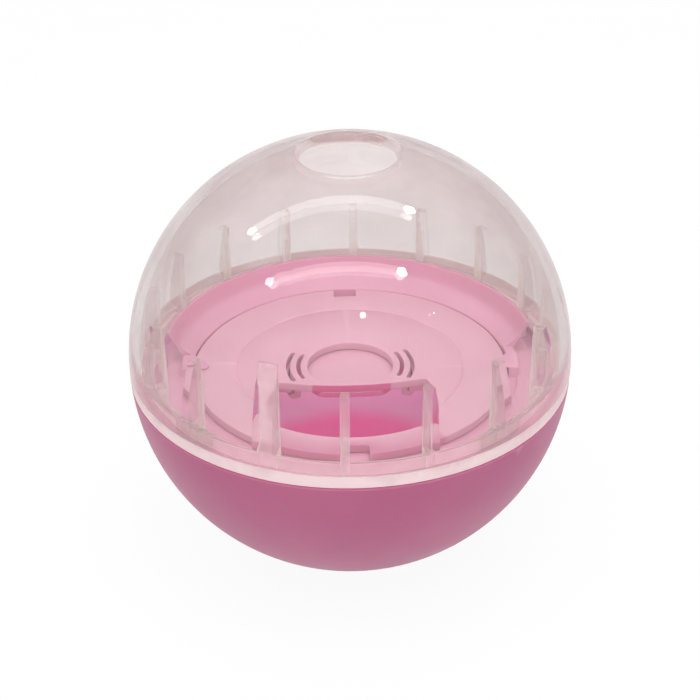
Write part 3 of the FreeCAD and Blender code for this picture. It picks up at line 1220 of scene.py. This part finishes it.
@dataclass
class Disc(SubAssembly):
    """Turning disc with its window, dish, slots, notches, ring line, cup and snap arms.

    Attributes:
        ring_line: radius, half width and depth of the fine ring line.
        front_painted_shade: tone of the painted shade on the strip in front of the window.
        lip_half: half the length of the painted shadow on the edge behind the window.
        under_painted_shades: tones of the painted shade on the lower faces of the cup, the two arms and
            the guide.
    """

    name = "disc_plate"
    body = Body.SELECTOR
    node = "selector_disc"
    finish = Finish.DISC

    radius: float = 39.4
    top: float = -4.3
    thickness: float = 2.1
    turn: float = 2.0
    notch_width: float = 6.0
    notch_depth: float = 3.6
    notch_rounding: float = 0.5
    rim_points: int = 120
    rounding: float = 0.25
    ring_line: tuple[float, float, float] = (28.6, 0.45, 0.3)
    dish_radius: float = 10.8
    dish_depth: float = 2.2
    dish_rim: float = 1.0
    cup_radius: float = 12.0
    cup_floor: float = 1.5
    slots: tuple[tuple[float, float], ...] = ((12.6, 13.6), (15.2, 16.2))
    slot_half_angle: float = 24.0
    arm: tuple[float, float] = (13.6, 15.3)
    arm_half_angle: float = 22.0
    catch_outer: float = 16.6
    catch_slant: float = 0.7
    catch_levels: tuple[float, float] = (-10.4, -8.9)
    guide_half_angle: float = 63.0
    guide_bottom: float = -8.6
    front_fade: float = 0.5
    front_painted_shade: float = 0.5
    lip_half: float = 15.0
    lip_fade: float = 4.0
    lip_y: float = 10.2
    lip_reach: float = 1.2
    lip_drop: float = 0.2
    under_painted_shades: tuple[float, ...] = (1.0, 0.5, 0.5, 0.5)
    under_drop: float = 0.1
    window: WindowShape = field(default_factory=WindowShape)

    def outline(self) -> np.ndarray:
        """Round rim with a square notch at the back and at the front."""
        half = self.notch_width / 2
        edge = math.degrees(math.asin(half / self.radius))
        floor = self.radius - self.notch_depth
        notch = np.array([(half, self.radius), (half, floor), (-half, floor), (-half, self.radius)])
        parts = []
        for side in (1, -1):
            start = -90 * side
            last = start + 180 - edge
            parts.append(arc(self.radius, start + edge, last, self.rim_points))
            parts.append(rounded_run(side * notch, self.notch_rounding))
        return np.concatenate(parts)

    def plate(self) -> Patch:
        """Plate with the window, the dish's opening and four curved slots."""
        holes = [self.window.outline(), self.window.behind(self.dish_radius, self.dish_rim)]
        for azimuth in (0, 180):
            holes += [
                arc_slot(inner, outer, azimuth, self.slot_half_angle)
                for inner, outer in self.slots
            ]
        bottom = self.top - self.thickness
        grooves = [self.ring_line]
        plate = Slab(self.outline(), holes, bottom, self.top, self.rounding, grooves).build()
        # Painted shade: the strip in front of the window gets the shade colour, and the edge behind the
        # window, where shadow falls, gets the darker inner colour as painted shadow.
        x, y, level = plate.points.T
        ahead = -self.window.front_radius - y - self.front_fade
        front = np.clip(ahead / self.front_fade, 0, 1)
        lip = np.clip((self.lip_half - np.abs(x)) / self.lip_fade, 0, 1)
        under_lip_shadow = (np.abs(y + self.lip_y) < self.lip_reach) & (level < self.top - self.lip_drop)
        plate.tone = np.maximum(np.where(under_lip_shadow, lip, 0.0), self.front_painted_shade * front)
        return plate

    def underside(self) -> list[Patch]:
        """Cup under the dish, two snap arms with catches, and the guide behind them."""
        dish_floor = self.top - self.dish_depth
        outline = self.window.behind(self.cup_radius, 0.0)
        cup = Slab(outline, [], dish_floor - self.cup_floor, dish_floor, SMALL_ROUNDING)
        inner, outer = self.arm
        root = self.top - self.thickness / 2
        low, high = self.catch_levels
        catch = self.catch_outer
        arm = [
            (inner, low),
            (catch - self.catch_slant, low),
            (catch, low + self.catch_slant),
            (catch, high),
            (outer, high),
            (outer, root),
            (inner, root),
        ]
        low = self.guide_bottom
        guide = [(inner, low), (outer, low), (outer, root), (inner, root)]
        arm, guide = rounded(arm, SMALL_ROUNDING), rounded(guide, SMALL_ROUNDING)
        parts = [
            cup.build(),
            sector(arm, 0, self.arm_half_angle),
            sector(arm, 180, self.arm_half_angle),
            sector(guide, 90, self.guide_half_angle),
        ]
        # Painted shade on the lower faces: the cup's in the inner colour, the arms' and the guide's in
        # the shade colour.
        for part, tone in zip(parts, self.under_painted_shades):
            part.tone = tone * (part.points[:, 2] < dish_floor - self.under_drop)
        return parts

    def shells(self) -> list[Patch]:
        """Plate and underside, turned as in the photograph."""
        return [part.turned(self.turn) for part in (self.plate(), *self.underside())]


@dataclass
class Dome(SubAssembly):
    """Clear shell with its thick rim band, upright ribs, lipped treat hole and lock tabs.

    The band is the thick wall below band_top. One rib, the wide rib, is larger than the others.
    """

    name = "dome_shell"
    body = Body.LID
    node = "dome"
    finish = Finish.DOME
    sharp = 50.0

    wall: float = 2.6
    hole_radius: float = 11.4
    lip_radius: float = 1.38
    band_top: float = 0.75
    band_inner: float = 49.5
    rib_count: int = 16
    rib_inner: float = 47.1
    rib_foot_outer: float = 49.4
    rib_foot: float = -6.4
    rib_top: float = 17.5
    rib_thickness: float = 2.2
    rib_edge: float = 0.35
    plain_columns: int = 7
    tab: tuple[float, float] = (48.6, 50.2)
    tab_bottom: float = -8.2
    tab_drop: float = 0.4
    tab_rounding: float = 0.25
    hook_outer: float = 51.6
    hook_top: float = -6.6
    seam_rounding: float = 0.35
    band_milk: float = 1.0
    milk_top: float = 0.8
    milk_fade: float = 0.8
    foot_inner: float = 50.0
    blade_outer: float = 49.7
    rib_milk: float = 0.275
    top_milk: float = 0.222
    rib_clear: float = 0.5
    rib_fade: float = 12.0
    ledge_outer: float = 52.5
    ledge_edge: tuple[float, float] = (0.15, 0.12)
    ledge_start: tuple[float, float] = (0.6, 0.15)
    ledge_reach: float = 0.4
    ledge_milk: float = 0.29
    face_milk: float = 0.243
    lip_reach: float = 3.0
    lip_fade: float = 2.0
    lip_milk: float = 0.224
    slack: float = 0.1
    wide_rib: int = 11
    wide_turn: float = 1.7
    wide_thickness: float = 4.8
    wide_top: float = 23.0
    rib_proud: float = 0.35
    rim_points: int = 10
    outer_points: int = 60
    inner_points: int = 40
    lip_points: int = 24
    run_points: int = 4
    face_points: int = 22
    band_points: int = 5

    @property
    def hollow(self) -> float:
        """Radius of the inner sphere."""
        return BALL.radius - self.wall

    def lip_arc(self) -> np.ndarray:
        """Lip bead: the part of its circle outside the wall, from outer to inner surface.

        The circle's middle is on the middle of the wall, at distance m from the ball's centre. A
        point at angle a from the outward direction is at distance d where
        d^2 = m^2 + r^2 + 2 m r cos a, which gives the angles at both surfaces.
        """
        middle = BALL.radius - self.wall / 2
        across = self.hole_radius + self.lip_radius
        up = math.sqrt(middle**2 - across**2)
        size = self.lip_radius

        def angle_at(distance: float) -> float:
            """Angle on the bead where it meets a sphere."""
            cosine = (distance**2 - middle**2 - size**2) / (2 * middle * size)
            return math.degrees(math.acos(cosine))

        lean = math.degrees(math.atan2(up, across))
        first = lean - angle_at(BALL.radius)
        last = lean + 360 - angle_at(self.hollow)
        return arc(size, first, last, self.lip_points, (across, up))

    def run(self, first: Sequence, last: Sequence) -> np.ndarray:
        """Evenly spaced points on a straight line."""
        share = np.linspace(0, 1, self.run_points)[:, None]
        return (1 - share) * np.asarray(first) + share * np.asarray(last)

    def rib_inside(self, edge: float, rib_top: float) -> list[np.ndarray]:
        """Inside of a column through a rib: up its outer side, below it, its face and its top.

        The face is upright, and stands rib_proud off the wall where the wall comes in.
        """
        foot, top = self.rib_foot + edge, rib_top - edge
        outside, inner = self.rib_foot_outer - edge, self.rib_inner + edge
        levels = np.linspace(foot, top, self.face_points)
        off_wall = np.sqrt(self.hollow**2 - levels**2) - self.rib_proud + edge
        face = np.column_stack([np.minimum(inner, off_wall), levels])
        wall = math.sqrt(self.hollow**2 - rib_top**2)
        return [
            self.run((outside, BALL.seam), (outside, foot)),
            self.run((outside, foot), (inner, foot)),
            face,
            self.run(face[-1], (wall, top)),
        ]

    def plain_inside(self, rib_top: float) -> list[np.ndarray]:
        """Inside of a column beside the ribs: the band's face and ledge, and the wall above.

        Points that a rib needs elsewhere stay together at both ends, so that the count is the same.
        """
        inner, top = self.band_inner, self.band_top
        edge_in, edge_up = self.ledge_edge
        ledge_in, ledge_up = self.ledge_start
        spare = self.face_points - self.band_points - self.run_points
        above = sphere_arc(self.hollow, top, rib_top, spare)
        levels = np.linspace(BALL.seam, top, self.band_points)
        face = np.column_stack([np.full(self.band_points, inner), levels])
        edge = [(inner + edge_in, top + edge_up)]
        ledge = np.linspace((inner + ledge_in, top + ledge_up), above[1], self.run_points)
        low_end = np.repeat(face[:1], self.run_points, axis=0)
        high_end = np.repeat(above[-1:], self.run_points + 1, axis=0)
        return [low_end, low_end, face, edge, ledge, above[2:], high_end]

    def profile(self, rib: bool, edge: float, rib_top: float) -> tuple[np.ndarray, np.ndarray]:
        """Closed wall profile of one column, the same number of points with or without a rib.

        Args:
            rib: whether the column runs through a rib.
            edge: how far a rib's edges are set back, for its rounded corners.
            rib_top: level of the rib's top.

        Returns:
            Points (radius, level), and the milkiness at each.
        """
        seam, size = BALL.seam, self.seam_rounding
        lip = self.lip_arc()
        rim = sphere_arc(BALL.radius, seam + size, self.band_top, self.rim_points)[:-1]
        outer = sphere_arc(BALL.radius, self.band_top, lip[0, 1], self.outer_points)
        low_outer = math.sqrt(BALL.radius**2 - seam**2)
        corner = arc(size, -90, 0, EDGE_POINTS, (low_outer - size, seam + size))
        down = np.concatenate([corner, rim, outer])[::-1]
        inside = self.rib_inside(edge, rib_top) if rib else self.plain_inside(rib_top)
        up = sphere_arc(self.hollow, rib_top, lip[-1, 1], self.inner_points)[1:]
        points = np.concatenate([down, *inside, up, lip[::-1][1:-1]])
        return points, self.milkiness(points, rib, rib_top)

    def milkiness(self, points: np.ndarray, rib: bool, rib_top: float) -> np.ndarray:
        """Milkiness of profile points: most at the foot of the rim, some in the ribs and the lip.

        The foot of the rim fades out over milk_fade below the level milk_top. A rib is less milky
        over its uppermost part, rib_fade high. The band's ledge and inner face are a little milky.
        """
        radius, level = points[:, 0], points[:, 1]
        foot = np.clip((self.milk_top - level) / self.milk_fade, 0, 1) * self.band_milk
        band = np.where(radius > self.foot_inner, foot, 0.0)
        low = (radius < self.ledge_outer) & (level < self.band_top + self.ledge_reach)
        on_ledge = level > self.band_top - self.slack
        inner_band = np.where(on_ledge, self.ledge_milk, self.face_milk)
        band = np.where(low & (not rib), inner_band, band)
        blade = (radius < self.blade_outer) & (level < rib_top + self.slack) & rib
        rise = np.clip((rib_top - self.rib_clear - level) / self.rib_fade, 0, 1)
        ribs = self.top_milk + (self.rib_milk - self.top_milk) * rise
        near_lip = np.clip((self.hole_radius + self.lip_reach - radius) / self.lip_fade, 0, 1)
        lip = near_lip * (level > 0) * self.lip_milk
        return np.maximum(np.where(blade, ribs, band), lip)

    def rib_place(self, number: int) -> tuple[float, float, float]:
        """Azimuth of a rib's middle plane, half its thickness and its top; one is larger."""
        azimuth = 360 / self.rib_count * number + BALL.dome_turn
        if number == self.wide_rib:
            return azimuth + self.wide_turn, self.wide_thickness / 2, self.wide_top
        return azimuth, self.rib_thickness / 2, self.rib_top

    def shell(self) -> Patch:
        """Closed wall with its ribs as one grid, a column of profile points at each azimuth.

        A point at radius r in a column at side offset s from a rib's middle plane lies
        sqrt(r^2 - s^2) along that plane, so that a rib's sides are flat and parallel. Above the
        ribs, where r is smaller than at a rib's inner face, s shrinks with r.
        """
        columns, tones = [], []
        for number in range(self.rib_count):
            azimuth, half, top = self.rib_place(number)
            rib_columns = [
                (-half, False, 0.0),
                (-half, True, self.rib_edge),
                (-half + self.rib_edge, True, 0.0),
                (half - self.rib_edge, True, 0.0),
                (half, True, self.rib_edge),
                (half, False, 0.0),
            ]
            spots = [(azimuth, side, rib, edge, top) for side, rib, edge in rib_columns]
            following, next_half, next_top = self.rib_place(number + 1)
            first = azimuth + math.degrees(math.asin(half / self.rib_inner))
            last = following - math.degrees(math.asin(next_half / self.rib_inner))
            angles = np.linspace(first, last, self.plain_columns + 2)[1:-1]
            tops = np.linspace(top, next_top, self.plain_columns + 2)[1:-1]
            spots += [(angle, 0.0, False, 0.0, level) for angle, level in zip(angles, tops)]
            for angle, side, rib, edge, level in spots:
                profile, tone = self.profile(rib, edge, level)
                radius, height = profile.T
                shift = side * np.minimum(radius / self.rib_inner, 1.0)
                along = np.sqrt(radius**2 - shift**2)
                cosine, sine = math.cos(math.radians(angle)), math.sin(math.radians(angle))
                x, y = along * cosine - shift * sine, along * sine + shift * cosine
                columns.append(np.column_stack([x, y, height]))
                tones.append(tone)
        faces = grid_faces(len(columns), len(columns[0]), True, True)
        return Patch(np.concatenate(columns), faces, np.concatenate(tones))

    def tabs(self) -> list[Patch]:
        """Four lock tabs, each a curved strip with a hook at its foot."""
        inner, outer = self.tab
        top = self.band_top - self.tab_drop
        corners = [
            (inner, self.tab_bottom),
            (self.hook_outer, self.tab_bottom),
            (self.hook_outer, self.hook_top),
            (outer, self.hook_top),
            (outer, top),
            (inner, top),
        ]
        strip = rounded(corners, self.tab_rounding)
        half = BALL.lug_half_angle
        return [sector(strip, centre, half, FINE_STEP) for centre in BALL.tab_azimuths()]

    def shells(self) -> list[Patch]:
        """Wall with its ribs, and the tabs."""
        return [self.shell(), *self.tabs()]


# Studio


@dataclass
class Studio:
    """Pale floor, white surround, soft lamps and the camera.

    Attributes:
        distance: camera to the ball's centre, in ball radii.
        elevation: camera's angle over the horizon, in degrees.
        roll: turn of the picture, in degrees.
        lens: focal length, in millimetres.
        floor_half: half the floor's side, in metres.
        floor_greys: darkest and brightest grey of the floor.
        floor_white: share of plain white where the floor is seen.
        surround: strength of the surround's light.
        bar_height: height of the bars and spots over the ball's centre, in metres.
        bar_width: width of the bars.
        bars: left end, right end and y of each bar.
        bar_radiance: brightness of the bars.
        end_size: width of the round lamps at the bars' ends.
        end_radiances: brightness of the left and the right ends.
        spots: x, y and width of each small spot.
        spot_radiance: brightness of the spots.
        soft_place: place of the soft overhead lamp about the ball's centre.
        soft_size: its width.
        soft_power: its power in watts.
        front_place: place of the front lamp.
        front_size: its width.
        front_power: its power in watts.
    """

    distance: float = 7.0
    elevation: float = 31.0
    roll: float = -0.6
    lens: float = 78.85
    floor_half: float = 3.0
    floor_greys: tuple[float, float] = (0.72, 0.75)
    floor_white: float = 0.93
    surround: float = 0.9
    bar_height: float = 0.6
    bar_width: float = 0.06
    bars: tuple[tuple[float, float, float], ...] = ((-0.5, 0.27, 0.203), (-0.47, 0.275, -0.21))
    bar_radiance: float = 3.8
    end_size: float = 0.055
    end_radiances: tuple[float, float] = (16.0, 30.0)
    spots: tuple[tuple[float, ...], ...] = ((0.089, -0.55, 0.04), (0.643, -0.464, 0.016))
    spot_radiance: float = 30.0
    soft_place: tuple[float, float, float] = (0.02, -0.35, 1.3)
    soft_size: float = 1.2
    soft_power: float = 10.4
    front_place: tuple[float, float, float] = (0.02, -1.05, 0.56)
    front_size: float = 0.12
    front_power: float = 4.0

    def seen(self, nodes: Nodes, share: float) -> Socket:
        """Share of white for rays from the camera, glossy surfaces and clear plastic."""
        path = nodes.add("ShaderNodeLightPath").outputs
        either = nodes.math("MAXIMUM", path["Is Camera Ray"], path["Is Glossy Ray"])
        every = nodes.math("MAXIMUM", either, path["Is Transmission Ray"])
        return nodes.math("MULTIPLY", every, share)

    def floor(self) -> bpy.types.Object:
        """Pale floor that keeps a faint shadow."""
        half = self.floor_half
        mesh = bpy.data.meshes.new("floor")
        corners = [(-half, -half, 0), (half, -half, 0), (half, half, 0), (-half, half, 0)]
        mesh.from_pydata(corners, [], [(0, 1, 2, 3)])
        floor = bpy.data.objects.new("floor", mesh)
        bpy.context.scene.collection.objects.link(floor)
        nodes = Nodes(bpy.data.materials.new("floor_white"))
        dark, bright = ((grey, grey, grey, 1.0) for grey in self.floor_greys)
        tone = nodes.mixed_colour(nodes.clouds(30.0, 4.0), dark, bright)
        matt = nodes.shader("ShaderNodeBsdfDiffuse", {"Color": tone})
        white = nodes.shader("ShaderNodeEmission", {"Strength": 1.0})
        shader = nodes.mixed_shader(self.seen(nodes, self.floor_white), matt, white)
        mesh.materials.append(nodes.finish(shader))
        return floor

    def world(self) -> None:
        """White surround that lights softly and is plain white where it is seen."""
        world = bpy.data.worlds.new("surround")
        bpy.context.scene.world = world
        nodes = Nodes(world)
        path = nodes.add("ShaderNodeLightPath").outputs
        seen = nodes.math("MAXIMUM", path["Is Camera Ray"], path["Is Transmission Ray"])
        strength = nodes.mapped(seen, 0.0, 1.0, self.surround, 1.0)
        background = nodes.shader("ShaderNodeBackground", {"Strength": strength})
        nodes.add("ShaderNodeOutputWorld", {"Surface": background})

    def lamp(
        self, name: str, place: Sequence, size: Sequence, power: float, shape: str = "RECTANGLE"
    ) -> bpy.types.Object:
        """Add an area lamp that faces the ball's centre.

        Args:
            name: lamp name.
            place: place about the ball's centre, in metres.
            size: width and height, in metres.
            power: power in watts.
            shape: RECTANGLE or ELLIPSE.

        Returns:
            The lamp.
        """
        data = bpy.data.lights.new(name, "AREA")
        data.shape = shape
        data.size, data.size_y = size
        data.energy = power
        lamp = bpy.data.objects.new(name, data)
        bpy.context.scene.collection.objects.link(lamp)
        where = Vector(place)
        lamp.location = where + Vector((0, 0, BALL.centre * METRES))
        lamp.rotation_euler = (-where).to_track_quat("-Z", "Y").to_euler()
        return lamp

    def lamps(self) -> None:
        """Two bars with bright ends, two small spots, and soft lamps overhead and in front."""
        for number, (left, right, y) in enumerate(self.bars):
            place = ((left + right) / 2, y, self.bar_height)
            size = (right - left - self.end_size, self.bar_width)
            power = self.bar_radiance * math.pi * size[0] * size[1]
            bar = self.lamp(f"bar_{number}", place, size, power)
            bar.rotation_euler = (0.0, 0.0, 0.0)
            for side, x, radiance in zip(("left", "right"), (left, right), self.end_radiances):
                size = (self.end_size, self.end_size)
                power = radiance * math.pi * size[0] ** 2 * math.pi / 4
                self.lamp(f"bar_{number}_{side}", (x, y, self.bar_height), size, power, "ELLIPSE")
        for number, (x, y, width) in enumerate(self.spots):
            power = self.spot_radiance * math.pi * width**2 * math.pi / 4
            self.lamp(f"spot_{number}", (x, y, self.bar_height), (width, width), power, "ELLIPSE")
        size = (self.soft_size, self.soft_size)
        front = (self.front_size, self.front_size)
        for lamp in (
            self.lamp("soft_lamp", self.soft_place, size, self.soft_power),
            self.lamp("front_lamp", self.front_place, front, self.front_power),
        ):
            lamp.visible_glossy = False
            lamp.visible_transmission = False

    def camera(self) -> bpy.types.Object:
        """Camera at the photograph's viewing angle."""
        data = bpy.data.cameras.new("camera")
        data.lens = self.lens
        data.sensor_width = SENSOR_WIDTH
        camera = bpy.data.objects.new("camera", data)
        bpy.context.scene.collection.objects.link(camera)
        far = self.distance * BALL.radius * METRES
        tilt = math.radians(self.elevation)
        offset = Vector((0.0, -far * math.cos(tilt), far * math.sin(tilt)))
        camera.location = offset + Vector((0, 0, BALL.centre * METRES))
        aim = (-offset).to_track_quat("-Z", "Y")
        turn = aim @ Quaternion((0, 0, 1), math.radians(self.roll))
        camera.rotation_euler = turn.to_euler()
        bpy.context.scene.camera = camera
        return camera

    def build(self) -> None:
        """Set up floor, surround, lamps, camera and view transform."""
        self.floor()
        self.world()
        self.lamps()
        self.camera()
        bpy.context.scene.view_settings.view_transform = "Standard"
        log.info("studio ready")


def main() -> None:
    """Build the studio and the four pieces, and report each one."""
    logging.basicConfig(level=logging.INFO, format="%(message)s")
    Studio().build()
    for sub_assembly in (Bowl(), Tray(), Disc(), Dome()):
        piece = sub_assembly.build()
        sub_assembly.dress(piece)
        faces = len(piece.data.polygons)
        log.info("%s: %d faces on body %s", piece.name, faces, sub_assembly.body.value)


if __name__ == "__main__":
    main()
